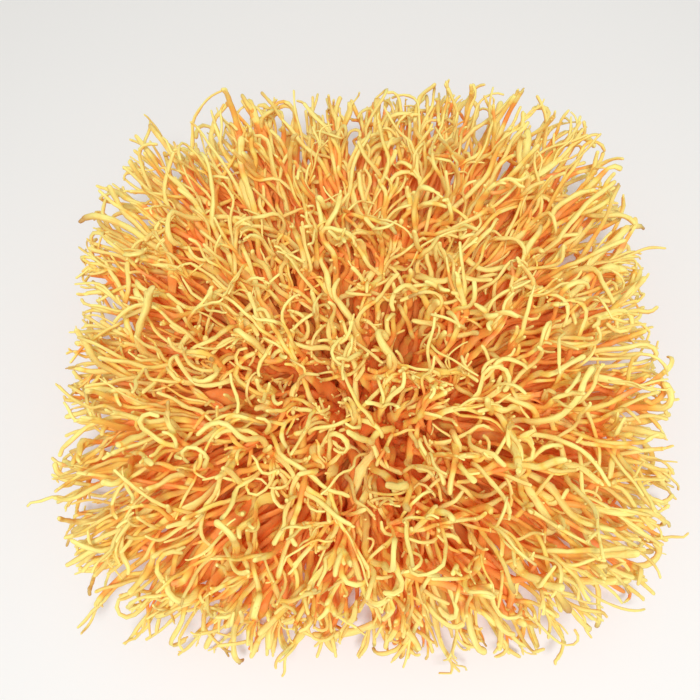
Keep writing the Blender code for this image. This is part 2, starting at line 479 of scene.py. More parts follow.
def grow_branches(draw, kind, stems, parent, at, size, across=None, swing=None):
    """Strands of one kind that leave the parent stems at the given rings, across their width.

    The swing is the angle round the stem at which each one leaves, at random if it isn't given.
    """
    count = len(parent)
    across = np.zeros(count) if across is None else across
    tilt = draw.uniform(*kind.tilt, count)
    swing = draw.uniform(0.0, TURN, count) if swing is None else swing
    length = draw.uniform(*kind.length, count)
    after = np.minimum(at + 1, stems.rings - 1)
    ahead = unit(stems.points[parent, after] - stems.points[parent, at - 1])
    side = stems.side[parent, at]
    other = np.cross(ahead, side)
    start = stems.points[parent, at] + across[:, None] * side
    outward = np.cos(swing)[:, None] * side + np.sin(swing)[:, None] * other
    heading = unit(np.cos(tilt)[:, None] * ahead + np.sin(tilt)[:, None] * outward)
    habit = make_habit(draw, count, BRANCH_ARC_CHANCE, kind.hook_chance, BRANCH_HOOKS)

    def goal_at(rise):
        turned = smooth_step(0.0, BRANCH_TURNED_BY, rise)
        return unit(ahead * (1.0 - turned) + heading * turned) if rise > 0.0 else ahead

    places = ring_places(kind.rings, 0.0)
    points, own_side, length = grow(start, length, places, habit, goal_at, BRANCH_PULL, BRANCH_CALM)
    rise = places[None, :]
    first = BRANCH_FIRST * np.minimum(stems.thick[parent, at], size)[:, None]
    full = size[:, None] * (1.0 - BRANCH_TAPER * smooth_step(BRANCH_TAPER_FROM, 1.0, rise))
    body = first + (full - first) * smooth_step(0.0, BRANCH_FULL_BY, rise)
    phase = draw.uniform(0.0, TURN, (count, 1))
    wave = np.sin(TURN * rise * length[:, None] / BRANCH_BULGE_LENGTH + phase)
    body = body * (1.0 + BRANCH_BULGE * wave)
    flat = draw.uniform(*BRANCH_FLATS, (count, 1))
    from_rise = stems.rise[parent, at][:, None]
    own_rise = from_rise + (1.0 - from_rise) * rise
    return Strands(
        points, own_side, body * flat, body / flat, own_rise, stems.tint[parent],
        stems.sear[parent], stems.bundle[parent], stems.family[parent], kind.sides,
    )


def side_branches(draw, stems):
    """A longer branch from about a third of the stems, and a second one from some of them."""
    parent = np.flatnonzero(draw.random(len(stems.points)) < BRANCH_CHANCE)
    parent = np.concatenate([parent, parent[draw.random(len(parent)) < SECOND_BRANCH_CHANCE]])
    at = draw.integers(*BRANCH_ZONE, len(parent))
    size = stems.thick[parent, at] * draw.uniform(*SIDE_BRANCH.size, len(parent))
    return grow_branches(draw, SIDE_BRANCH, stems, parent, at, size)


def ribbon_fingers(draw, stems, ribbon, fork):
    """The fingers that a flat ribbon splits into, side by side across its width."""
    broad = np.flatnonzero(ribbon)
    parent = np.repeat(broad, draw.integers(*FINGERS, len(broad)))
    count = len(parent)
    edge = np.where(np.arange(count) % 2 == 0, 1.0, -1.0)
    place = edge * draw.uniform(*FINGER_PLACES, count)
    at = (fork[parent] * STEM_RINGS).astype(int) - draw.integers(0, MOST_RINGS_BELOW_FORK, count)
    size = stems.thick[parent, at] * draw.uniform(*FINGER.size, count)
    across = place * np.maximum(stems.wide[parent, at] - size, 0.0)
    swing = np.where(place > 0.0, 0.0, np.pi) + draw.normal(0.0, FINGER_SWING_ERROR, count)
    return grow_branches(draw, FINGER, stems, parent, at, size, across, swing)


def tip_stubs(draw, stems):
    """Short stubs that make some tips ragged, like small antlers."""
    chosen = np.flatnonzero(draw.random(len(stems.points)) < STUB_CHANCE)
    parent = np.repeat(chosen, draw.integers(*STUBS, len(chosen)))
    place = (stems.rings * draw.uniform(*STUB_ZONE, len(parent))).astype(int)
    at = np.minimum(place, stems.rings - RINGS_AFTER_STUB)
    size = stems.thick[parent, at] * draw.uniform(*TIP_STUB.size, len(parent))
    return grow_branches(draw, TIP_STUB, stems, parent, at, size)


def low_sprouts(draw, stems):
    """Stunted little stems that stand among the others, well below the tips."""
    parent = (len(stems.points) * draw.random(SPROUTS) ** SPROUT_CROWDING).astype(int)
    at = draw.integers(*SPROUT_ZONE, SPROUTS)
    size = draw.uniform(*SPROUT.size, SPROUTS)
    return grow_branches(draw, SPROUT, stems, parent, at, size)


# --- Easing the crowded strands apart ---

REACH = 3.2
EASE_ROUNDS = 8
EASE_STEPS = 5
EASE_SMOOTHINGS = 4
EASE_SHARE = 0.7
MOST_TOUCHES = 2
FOOT_HELD_TO = 0.25
ROOT_HELD_TO = 0.3
FOOT_ROOM, ROOM_GAINED = 0.33, 0.67
CROWD_FROM, CROWD_TO = 0.15, 0.70
HALF_NEIGHBOURS = [
    (x, y, z)
    for x in (-1, 0, 1) for y in (-1, 0, 1) for z in (-1, 0, 1)
    if (x, y, z) > (0, 0, 0)
]


def all_points(batches):
    return np.concatenate([batch.points.reshape(-1, 3) for batch in batches])


def batch_ends(batches):
    """Where each batch but the last ends in arrays of all the points."""
    return np.cumsum([batch.points.shape[0] * batch.rings for batch in batches])[:-1]


def near_pairs(points, family):
    """Index pairs of points of different families that lie within REACH of each other."""
    cell = np.floor(points / REACH).astype(np.int64)
    cell -= cell.min(axis=0) - 1
    span = cell.max(axis=0) + 2
    key = (cell[:, 0] * span[1] + cell[:, 1]) * span[2] + cell[:, 2]
    order = np.argsort(key, kind="stable")
    ranked = key[order]
    place = np.arange(len(key))
    firsts, seconds = [], []
    for x, y, z in [(0, 0, 0)] + HALF_NEIGHBOURS:
        wanted = key + (x * span[1] + y) * span[2] + z
        low = np.searchsorted(ranked, wanted, "left")
        number = np.searchsorted(ranked, wanted, "right") - low
        first = np.repeat(place, number)
        within = np.arange(number.sum()) - np.repeat(np.cumsum(number) - number, number)
        second = order[np.repeat(low, number) + within]
        keep = family[first] != family[second]
        if (x, y, z) == (0, 0, 0):
            keep &= first < second
        firsts.append(first[keep])
        seconds.append(second[keep])
    first, second = np.concatenate(firsts), np.concatenate(seconds)
    close = ((points[first] - points[second]) ** 2).sum(axis=1) < REACH**2
    return first[close], second[close]


def pushes(points, size, first, second):
    """How far each point should move so that touching pairs part."""
    apart = points[first] - points[second]
    distance = np.maximum(np.linalg.norm(apart, axis=1), 1e-6)
    overlap = np.maximum(size[first] + size[second] - distance, 0.0)
    hit = overlap > 0.0
    first, second = first[hit], second[hit]
    push = apart[hit] * (0.5 * overlap[hit] / distance[hit])[:, None]
    total = np.zeros_like(points)
    number = len(points)
    for axis in range(3):
        total[:, axis] += np.bincount(first, push[:, axis], number)
        total[:, axis] -= np.bincount(second, push[:, axis], number)
    touches = np.bincount(first, minlength=number) + np.bincount(second, minlength=number)
    mean = total / np.maximum(touches, 1)[:, None]
    return mean * np.minimum(touches, MOST_TOUCHES)[:, None] * EASE_SHARE


def smoothed(move, rise):
    """A batch's pushes, faded out towards the feet and smoothed along each strand."""
    move = move * smooth_step(0.0, FOOT_HELD_TO, rise)[..., None]
    for _ in range(EASE_SMOOTHINGS):
        move[:, 1:-1] = 0.25 * move[:, :-2] + 0.5 * move[:, 1:-1] + 0.25 * move[:, 2:]
        move[:, -1] = 0.5 * (move[:, -1] + move[:, -2])
    return move


def find_roots(batch, stems):
    """The ring of its stem at which each strand is rooted, and how far off the stem's axis."""
    away = ((stems.points[batch.family] - batch.points[:, :1]) ** 2).sum(axis=2)
    ring = away.argmin(axis=1)
    return ring, batch.points[:, 0] - stems.points[batch.family, ring]


def follow(batch, stems, root, move):
    """Moves a batch's strands by their own pushes, and along with the stems that they root on."""
    ring, offset = root
    shift = stems.points[batch.family, ring] + offset - batch.points[:, 0]
    held = smooth_step(0.0, ROOT_HELD_TO, np.linspace(0.0, 1.0, batch.rings))
    batch.points += move * held[None, :, None] + shift[:, None, :]


def ease_apart(batches):
    """Moves crowded strands apart, keeping each one's shape smooth and its foot in place."""
    stems, others = batches[0], batches[1:]
    roots = [find_roots(batch, stems) for batch in others]
    family = np.concatenate([np.repeat(batch.family, batch.rings) for batch in batches])
    size = np.concatenate([(0.5 * (batch.wide + batch.thick)).ravel() for batch in batches])
    rise = np.concatenate([batch.rise.ravel() for batch in batches])
    size = size * (FOOT_ROOM + ROOM_GAINED * smooth_step(CROWD_FROM, CROWD_TO, rise))
    points = all_points(batches)
    for _ in range(EASE_ROUNDS):
        first, second = near_pairs(points, family)
        for _ in range(EASE_STEPS):
            moves = np.split(pushes(points, size, first, second), batch_ends(batches))
            moves = [smoothed(m.reshape(b.points.shape), b.rise) for m, b in zip(moves, batches)]
            stems.points += moves[0]
            for batch, root, move in zip(others, roots, moves[1:]):
                follow(batch, stems, root, move)
            points = all_points(batches)


def settle_inside(batches):
    """Keeps every point inside the limits of the box and above the floor."""
    low = np.array([CAD_LOW[0] - SIDE_SPARE, CAD_LOW[1] - SIDE_SPARE, FLOOR_SPARE]) + SKIN_ROOM
    high = CAD_HIGH + np.array([SIDE_SPARE, SIDE_SPARE, TOP_SPARE]) - SKIN_ROOM
    for batch in batches:
        batch.points = np.clip(batch.points, low, high)


# --- How open to the light each point lies ---

# The strands outside a point are summed up in cells along a line that leans outwards with SHADE_LEAN.
SHADE_CELL = 3.0
SHADE_STEPS = 9
SHADE_LEAN = 0.3
SHADE_MIDDLE = 0.6
SHADE_EDGE = 1.9


def exposure(batches):
    """For each batch, 0 deep inside the tuft to 1 at its surface, by the strands outside each point. The
    stems' colour uses it as painted shade.
    """
    points = all_points(batches)
    size = np.concatenate([(batch.wide + batch.thick).ravel() for batch in batches])
    low = points.min(axis=0) - SHADE_CELL
    shape = np.ceil((points.max(axis=0) - low) / SHADE_CELL).astype(int) + 2
    cell = ((points - low) / SHADE_CELL).astype(int)
    key = (cell[:, 0] * shape[1] + cell[:, 1]) * shape[2] + cell[:, 2]
    density = np.bincount(key, size, int(np.prod(shape))).reshape(shape) / SHADE_CELL**2
    from_middle = (points - MIDDLE) * LEVEL
    share = np.clip(np.linalg.norm(from_middle, axis=1) / (CAD_HIGH[0] - MIDDLE[0]), 0.0, 1.0)
    outward = unit(unit(from_middle) * share[:, None] * SHADE_LEAN + UP)
    covered = np.zeros(len(points))
    for step in range(1, SHADE_STEPS + 1):
        place = ((points + outward * (step * SHADE_CELL) - low) / SHADE_CELL).astype(int)
        inside = ((place >= 0) & (place < shape)).all(axis=1)
        place = np.clip(place, 0, shape - 1)
        covered += density[place[:, 0], place[:, 1], place[:, 2]] * inside
    lit = np.exp(-(SHADE_MIDDLE + (SHADE_EDGE - SHADE_MIDDLE) * share) * covered)
    parts = np.split(lit, batch_ends(batches))
    return [part.reshape(batch.rise.shape) for part, batch in zip(parts, batches)]


# --- Meshes of strands ---

TWIST = 1.2
CAP_RINGS = 2
CAP_LENGTH = 1.4
CAP_ROUND = 0.93
LOBES = ((2, 0.06), (3, 0.07))
LOBE_DRIFT = 2.5
SKIN_SPREAD = 200.0

# The strip map, in millimetres: the room round each strip and at its two ends, where the caps lie.
STRIP_GAP = 0.5
STRIP_ENDS = 2.0
STRIP_MARGIN = 0.2
CAP_MARGIN = 0.9
CAP_DISC = 0.35
CAP_SHIFT = 0.45
ROW_SPARE = 1.04
MAP_FILL = 0.998


def frames_along(batch):
    """The way ahead and the side axis at every ring, carried along each strand without a twist."""
    points = batch.points
    ahead = np.empty_like(points)
    ahead[:, 1:-1] = points[:, 2:] - points[:, :-2]
    ahead[:, 0] = points[:, 1] - points[:, 0]
    ahead[:, -1] = points[:, -1] - points[:, -2]
    ahead = unit(ahead)
    side = np.empty_like(points)
    carried = batch.side[:, 0]
    for k in range(batch.rings):
        carried = unit(carried - dot(carried, ahead[:, k]) * ahead[:, k])
        side[:, k] = carried
    return ahead, side


def tube_points(batch, draw):
    """The corners of every ring of every strand, (strands, rings, sides, 3), with rounded tips."""
    ahead, side = frames_along(batch)
    count = len(batch.points)
    twist = (draw.normal(0.0, TWIST, (count, 1)) * batch.rise)[..., None]
    flat = np.cross(ahead, side)
    other = np.cos(twist) * flat - np.sin(twist) * side
    side = np.cos(twist) * side + np.sin(twist) * flat
    wide, thick, centres = batch.wide.copy(), batch.thick.copy(), batch.points.copy()
    last = batch.rings - CAP_RINGS - 1
    for k in range(1, CAP_RINGS + 1):
        turn = 0.5 * math.pi * k / CAP_RINGS * CAP_ROUND
        reach = thick[:, last] * math.sin(turn) * CAP_LENGTH
        centres[:, last + k] = centres[:, last] + ahead[:, last] * reach[:, None]
        wide[:, last + k] = wide[:, last] * math.cos(turn)
        thick[:, last + k] = thick[:, last] * math.cos(turn)
        side[:, last + k], other[:, last + k] = side[:, last], other[:, last]
    around = np.arange(batch.sides) * (TURN / batch.sides)
    lobes = np.zeros((count, batch.rings, batch.sides))
    for number, depth in LOBES:
        first = draw.uniform(0.0, TURN, (count, 1, 1))
        phase = first + draw.normal(0.0, LOBE_DRIFT, (count, 1, 1)) * batch.rise[..., None]
        lobes += depth * np.cos(number * around + phase)
    lobes = 1.0 + lobes
    across = (wide[..., None] * lobes * np.cos(around))[..., None] * side[:, :, None]
    upward = (thick[..., None] * lobes * np.sin(around))[..., None] * other[:, :, None]
    return centres[:, :, None] + across + upward


def skin_places(batch, draw):
    """Seamless coordinates on each strand: round it on two axes and along it on the third."""
    around = np.arange(batch.sides) * (TURN / batch.sides)
    lengths = np.linalg.norm(np.diff(batch.points, axis=1), axis=2)
    along = np.concatenate([np.zeros((len(lengths), 1)), np.cumsum(lengths, axis=1)], axis=1)
    girth = 0.5 * (batch.wide + batch.thick)
    places = np.empty((*along.shape, batch.sides, 3))
    places[..., :2] = girth[..., None, None] * direction(around)
    places[..., 2] = along[..., None]
    return places + draw.uniform(0.0, SKIN_SPREAD, (len(along), 1, 1, 3))


def tube_faces(rings, sides):
    """Quads of one strand, then the polygon at its foot and the one at its tip."""
    ring, corner = np.meshgrid(np.arange(rings - 1), np.arange(sides), indexing="ij")
    here = ring * sides + corner
    after = ring * sides + (corner + 1) % sides
    quads = np.stack([here, after, after + sides, here + sides], -1)
    foot = np.arange(sides)[::-1]
    tip = (rings - 1) * sides + np.arange(sides)
    return quads.reshape(-1, 4), foot, tip


def strip_places(widths, lengths):
    """Lower left corners of side by side strips in rows that together make about a square."""
    row_width = math.sqrt((widths * lengths).sum()) * ROW_SPARE
    places = np.zeros((len(widths), 2))
    across, up, tallest = 0.0, 0.0, 0.0
    for i in np.argsort(-lengths):
        if across + widths[i] > row_width and across > 0.0:
            across, up, tallest = 0.0, up + tallest, 0.0
        places[i] = across, up
        across += widths[i]
        tallest = max(tallest, lengths[i])
    return places, max(row_width, (places[:, 0] + widths).max()), up + tallest


def lay_out(parts):
    """The strip map of a bundle: for each part a (strands, rings, sides + 1, 2) array, and its scale."""
    widths, lengths = [], []
    for part in parts:
        widths.append(np.pi * (part["wide"] + part["thick"]).mean(axis=1) + STRIP_GAP)
        steps = np.linalg.norm(np.diff(part["points"], axis=1), axis=2)
        lengths.append(steps.sum(axis=1) + STRIP_ENDS)
    places, full_width, full_height = strip_places(np.concatenate(widths), np.concatenate(lengths))
    scale = MAP_FILL / max(full_width, full_height)
    grids = []
    first = 0
    for part, width, length in zip(parts, widths, lengths):
        count, rings, sides = part["corners"].shape[:3]
        corner = places[first : first + count]
        first += count
        used = (width - 2.0 * STRIP_MARGIN)[:, None]
        u = corner[:, :1] + STRIP_MARGIN + used * np.linspace(0.0, 1.0, sides + 1)
        used = (length - 2.0 * CAP_MARGIN)[:, None]
        v = corner[:, 1:] + CAP_MARGIN + used * np.linspace(0.0, 1.0, rings)
        grid = np.empty((count, rings, sides + 1, 2))
        grid[..., 0] = u[:, None, :]
        grid[..., 1] = v[:, :, None]
        grids.append(grid * scale)
    return grids, scale


def corner_values(part):
    """The values that the finish reads, for every corner of a part."""
    values = {}
    for key in ("rise", "tint", "sear", "lit"):
        found = part[key].reshape(part[key].shape + (1,) * (3 - part[key].ndim))
        values[key] = np.broadcast_to(found, part["corners"].shape[:3]).ravel()
    return {**values, "skin": part["skin"].reshape(-1, 3)}


def strand_loops(part, grid, scale, first):
    """The loops, polygon sizes and map places of a part's strands, whose corners start at first."""
    count, rings, sides = part["corners"].shape[:3]
    quads, foot, tip = tube_faces(rings, sides)
    starts = (first + np.arange(count) * rings * sides)[:, None]
    loops = [(starts[:, :, None] + quads[None]).reshape(-1)]
    totals = [np.full(count * len(quads), 4)]
    ring, corner = np.divmod(quads, sides)
    lap = np.where((corner == 0) & (np.arange(4) % 3 != 0)[None, :], sides, corner)
    places = [grid[:, ring, lap].reshape(-1, 2)]
    for cap, edge, shift in ((foot, 0, -CAP_SHIFT), (tip, rings - 1, CAP_SHIFT)):
        loops.append((starts + cap[None]).reshape(-1))
        totals.append(np.full(count, sides))
        middle = grid[:, edge].mean(axis=1) + np.array([0.0, shift * scale])
        disc = CAP_DISC * scale * direction(TURN * (cap % sides) / sides)
        places.append((middle[:, None] + disc[None]).reshape(-1, 2))
    return loops, totals, places


def build_mesh(name, parts, finish):
    """One mesh from the strands of a bundle, with its strip map and the values its finish reads."""
    corners, loops, totals, places, values = [], [], [], [], []
    grids, scale = lay_out(parts)
    first = 0
    for part, grid in zip(parts, grids):
        own_loops, own_totals, own_places = strand_loops(part, grid, scale, first)
        loops += own_loops
        totals += own_totals
        places += own_places
        values.append(corner_values(part))
        corners.append(part["corners"].reshape(-1, 3))
        first += len(corners[-1])
    joined = {key: np.concatenate([own[key] for own in values]) for key in values[0]}
    return mesh_object(
        name, np.concatenate(corners) * MM, np.concatenate(loops), np.concatenate(totals),
        joined, finish, np.concatenate(places),
    )


def mesh_object(name, corners, loops, totals, values, finish, places=None):
    """A smooth-shaded mesh object from flat arrays."""
    mesh = bpy.data.meshes.new(name)
    mesh.vertices.add(len(corners))
    mesh.vertices.foreach_set("co", corners.astype(np.float32).ravel())
    mesh.loops.add(len(loops))
    mesh.loops.foreach_set("vertex_index", loops.astype(np.int32))
    mesh.polygons.add(len(totals))
    mesh.polygons.foreach_set("loop_start", (np.cumsum(totals) - totals).astype(np.int32))
    mesh.polygons.foreach_set("loop_total", totals.astype(np.int32))
    mesh.update(calc_edges=True)
    mesh.shade_smooth()
    if places is not None:
        layer = mesh.uv_layers.new(name="OFBake")
        layer.uv.foreach_set("vector", places.astype(np.float32).ravel())
    for key, found in values.items():
        kind, label = ("FLOAT_VECTOR", "vector") if found.ndim == 2 else ("FLOAT", "value")
        attribute = mesh.attributes.new(key, kind, "POINT")
        attribute.data.foreach_set(label, found.astype(np.float32).ravel())
    mesh.materials.append(finish)
    mesh.validate()
    made = bpy.data.objects.new(name, mesh)
    bpy.context.scene.collection.objects.link(made)
    return made


# --- Finishes ---


def srgb(red, green, blue):
    """A linear colour from 0 to 255 display values."""
    shares = np.array([red, green, blue]) / 255.0
    linear = np.where(shares <= 0.04045, shares / 12.92, ((shares + 0.055) / 1.055) ** 2.4)
    return (*linear, 1.0)


# From the foot and the painted shade deep in the tuft to the open tips.
STEM_STOPS = (
    (0.00, srgb(253, 140, 60)),
    (0.30, srgb(252, 148, 62)),
    (0.50, srgb(250, 172, 68)),
    (0.70, srgb(248, 202, 82)),
    (0.85, srgb(248, 223, 96)),
    (1.00, srgb(248, 236, 126)),
)
STEM_DARK, STEM_PALE = srgb(252, 138, 50), srgb(250, 236, 158)
STEM_FURROW_SHADE = srgb(247, 152, 58)
STEM_SPECK = srgb(226, 108, 36)
STEM_UNDERSIDE_SHADE = srgb(250, 158, 58)
STEM_BURNT = srgb(172, 104, 46)
FELT_LOW, FELT_HIGH = srgb(222, 62, 20), srgb(246, 118, 50)
FELT_DARK, FELT_PALE = srgb(214, 74, 26), srgb(244, 206, 140)
FELT_HOLE_SHADE = srgb(150, 30, 12)
BARE_THREADS = srgb(232, 196, 128)

# Ranges are (from low, from high) and, where they end elsewhere than at 0 and 1, (to low, to high).
# A bump is (strength, depth in metres).
RISE_WEIGHT, LIGHT_WEIGHT, TINT_WEIGHT = 0.52, 0.48, 0.36
RIPE_AND_SHADE_RANGE = (0.18, 0.79)
UNDERSIDE_SHADE_RANGE = (0.65, -0.30, 0.0, 0.45)
BURNT_RANGE = (0.90, 1.0)
FURROW_RANGE, COARSE_SHARE, FINE_SHARE = (0.56, 0.38), 0.65, 0.35
DARKER_RANGE, PALER_RANGE = (0.5, 0.28), (0.52, 0.74)
FURROW_SHADE_TINGE, SPECK_TINGE = 0.30, 0.35
STEM_ROUGHNESS, STEM_BUMP, STEM_GLOSS = (0.3, 0.7, 0.72, 0.50), (0.65, 0.00035), 0.35
FELT_ROUGHNESS, FELT_BUMP, FELT_GLOSS = (0.3, 0.7, 0.95, 0.78), (0.7, 0.0008), 0.25
BARE_SIZE, BARE_RANGE = 0.07, (0.58, 0.66)
HOLE_DEPTH = 0.8


def add_node(tree, kind, settings=None, inputs=None):
    """A shader node with its settings made and its inputs set or linked."""
    made = tree.nodes.new("ShaderNode" + kind)
    for name, value in (settings or {}).items():
        setattr(made, name, value)
    for name, value in (inputs or {}).items():
        socket = made.inputs[name]
        if isinstance(value, bpy.types.NodeSocket):
            tree.links.new(value, socket)
        else:
            socket.default_value = value
    return made


def math_of(tree, operation, first, second):
    made = add_node(tree, "Math", {"operation": operation}, {0: first, 1: second})
    return made.outputs[0]


def times(tree, first, second):
    return math_of(tree, "MULTIPLY", first, second)


def mix_of(tree, factor, first, second):
    """The first colour where the factor is 0, and the second where it is 1."""
    inputs = {"Factor": factor, 6: first, 7: second}
    return add_node(tree, "Mix", {"data_type": "RGBA"}, inputs).outputs[2]


def ramp_of(tree, factor, stops):
    """A colour ramp through (place, colour) stops."""
    made = add_node(tree, "ValToRGB", None, {"Fac": factor})
    ramp = made.color_ramp
    ramp.elements[0].position, ramp.elements[0].color = stops[0]
    ramp.elements[1].position, ramp.elements[1].color = stops[-1]
    for place, colour in stops[1:-1]:
        ramp.elements.new(place).color = colour
    return made.outputs["Color"]


def range_of(tree, value, low, high, to_low=0.0, to_high=1.0):
    """The value taken smoothly from the range low to high to another one."""
    made = add_node(
        tree, "MapRange", {"interpolation_type": "SMOOTHSTEP"},
        {"Value": value, "From Min": low, "From Max": high, "To Min": to_low, "To Max": to_high},
    )
    return made.outputs["Result"]


def noise_of(tree, place, scale, detail=2.0, roughness=0.5):
    inputs = {"Vector": place, "Scale": scale, "Detail": detail, "Roughness": roughness}
    return add_node(tree, "TexNoise", None, inputs).outputs["Fac"]


def group_node(tree, group, inputs):
    return add_node(tree, "Group", {"node_tree": group}, inputs).outputs


def attribute_of(tree, name, output="Fac"):
    return add_node(tree, "Attribute", {"attribute_name": name}).outputs[output]


def new_group(name, inputs, outputs):
    """An empty node group with named sockets, its input values and its output node's inputs.

    Each input is (name, kind, default or None), and each output (name, kind).
    """
    tree = bpy.data.node_groups.new(name, "ShaderNodeTree")
    for label, kind, value in inputs:
        socket = tree.interface.new_socket(label, in_out="INPUT", socket_type="NodeSocket" + kind)
        if value is not None:
            socket.default_value = value
    for label, kind in outputs:
        tree.interface.new_socket(label, in_out="OUTPUT", socket_type="NodeSocket" + kind)
    return tree, tree.nodes.new("NodeGroupInput").outputs, tree.nodes.new("NodeGroupOutput").inputs


def wrinkle_group():
    """Shrivelled skin: furrows from a coarse and a fine noise, drawn out along one axis."""
    tree, given, put = new_group(
        "shrivelled_skin",
        [("Place", "Vector", None), ("Coarse", "Float", 1.0), ("Fine", "Float", 3.0),
         ("Drawn Out", "Float", 0.2)],
        [("Height", "Float"), ("Furrows", "Float")],
    )
    stretch = add_node(tree, "CombineXYZ", None, {"X": 1.0, "Y": 1.0, "Z": given["Drawn Out"]})
    inputs = {0: given["Place"], 1: stretch.outputs[0]}
    place = add_node(tree, "VectorMath", {"operation": "MULTIPLY"}, inputs).outputs[0]
    coarse = noise_of(tree, place, given["Coarse"], 3.0, 0.6)
    fine = noise_of(tree, place, given["Fine"], 2.0, 0.6)
    mixed = math_of(tree, "ADD", times(tree, coarse, COARSE_SHARE), times(tree, fine, FINE_SHARE))
    tree.links.new(mixed, put["Height"])
    tree.links.new(range_of(tree, mixed, *FURROW_RANGE), put["Furrows"])
    return tree


def drift_group():
    """A colour that drifts: patches a little darker and redder, others a little paler."""
    tree, given, put = new_group(
        "colour_drift",
        [("Place", "Vector", None), ("Size", "Float", 0.1), ("Color", "Color", None),
         ("Dark", "Color", None), ("Pale", "Color", None), ("Amount", "Float", 0.4)],
        [("Color", "Color")],
    )
    noise = noise_of(tree, given["Place"], given["Size"], 4.0, 0.65)
    darker = times(tree, range_of(tree, noise, *DARKER_RANGE), given["Amount"])
    paler = times(tree, range_of(tree, noise, *PALER_RANGE), given["Amount"])
    first = mix_of(tree, darker, given["Color"], given["Dark"])
    tree.links.new(mix_of(tree, paler, first, given["Pale"]), put["Color"])
    return tree


def speck_group():
    """Small round specks, as pinholes or grains: a mask that is 1 inside each speck."""
    tree, given, put = new_group(
        "specks",
        [("Place", "Vector", None), ("Scale", "Float", 1.0), ("Width", "Float", 0.2),
         ("Spread", "Float", 0.5)],
        [("Mask", "Float")],
    )
    inputs = {"Vector": given["Place"], "Scale": given["Scale"]}
    cells = add_node(tree, "TexVoronoi", {"feature": "F1"}, inputs)
    near = range_of(tree, cells.outputs["Distance"], given["Width"], times(tree, given["Width"], 0.4))
    few = noise_of(tree, given["Place"], times(tree, given["Scale"], 0.25))
    chosen = range_of(tree, few, given["Spread"], math_of(tree, "ADD", given["Spread"], 0.06))
    tree.links.new(times(tree, near, chosen), put["Mask"])
    return tree


def new_finish(name):
    made = bpy.data.materials.new(name)
    made.use_nodes = True
    return made, made.node_tree, made.node_tree.nodes["Principled BSDF"]


def set_surface(tree, shader, colour, roughness, height, bump):
    """Links the colour, the roughness and a bump of the given strength and depth in metres."""
    tree.links.new(colour, shader.inputs["Base Color"])
    tree.links.new(roughness, shader.inputs["Roughness"])
    strength, depth = bump
    inputs = {"Strength": strength, "Distance": depth, "Height": height}
    raised = add_node(tree, "Bump", None, inputs)
    tree.links.new(raised.outputs["Normal"], shader.inputs["Normal"])


def ripeness_and_painted_shade(tree):
    """0 for the red orange of the foot and of painted shade deep in the tuft, 1 for the pale open tips. The
    lit share stands partly for paler tissue on open strands and partly for painted shade.
    """
    risen = times(tree, attribute_of(tree, "rise"), RISE_WEIGHT)
    lit = times(tree, attribute_of(tree, "lit"), LIGHT_WEIGHT)
    own = times(tree, math_of(tree, "SUBTRACT", attribute_of(tree, "tint"), 0.5), TINT_WEIGHT)
    ripe_and_shade = math_of(tree, "ADD", math_of(tree, "ADD", risen, lit), own)
    return range_of(tree, ripe_and_shade, *RIPE_AND_SHADE_RANGE)


def stem_finish(wrinkles, drift, specks):
    """Dried stems: red orange at the foot, lemon at the open tips, finely furrowed, with painted shade deep
    in the tuft, in the furrows and on the undersides.
    """
    made, tree, shader = new_finish("dried_stem_skin")
    skin = attribute_of(tree, "skin", "Vector")
    # Painted shade: the ramp turns red orange where the lit value says strands lie deep in the tuft.
    colour = ramp_of(tree, ripeness_and_painted_shade(tree), STEM_STOPS)
    colour = group_node(tree, drift, {
        "Place": skin, "Size": 0.16, "Color": colour, "Amount": 0.30,
        "Dark": STEM_DARK, "Pale": STEM_PALE,
    })["Color"]
    furrows = group_node(tree, wrinkles, {"Place": skin, "Coarse": 1.1, "Fine": 3.2, "Drawn Out": 0.16})
    # Painted shade: the colour turns a deeper orange down in the furrows of the bump.
    colour = mix_of(tree, times(tree, furrows["Furrows"], FURROW_SHADE_TINGE), colour, STEM_FURROW_SHADE)
    dots = group_node(tree, specks, {"Place": skin, "Scale": 0.9, "Width": 0.22, "Spread": 0.60})
    colour = mix_of(tree, times(tree, dots["Mask"], SPECK_TINGE), colour, STEM_SPECK)
    # Painted shade: sides and undersides that face away from the sky turn a warmer orange.
    normal = add_node(tree, "NewGeometry").outputs["Normal"]
    upward = add_node(tree, "SeparateXYZ", None, {"Vector": normal}).outputs["Z"]
    colour = mix_of(tree, range_of(tree, upward, *UNDERSIDE_SHADE_RANGE), colour, STEM_UNDERSIDE_SHADE)
    at_tip = range_of(tree, attribute_of(tree, "rise"), *BURNT_RANGE)
    colour = mix_of(tree, times(tree, attribute_of(tree, "sear"), at_tip), colour, STEM_BURNT)
    roughness = range_of(tree, furrows["Height"], *STEM_ROUGHNESS)
    set_surface(tree, shader, colour, roughness, furrows["Height"], STEM_BUMP)
    shader.inputs["Specular IOR Level"].default_value = STEM_GLOSS
    return made


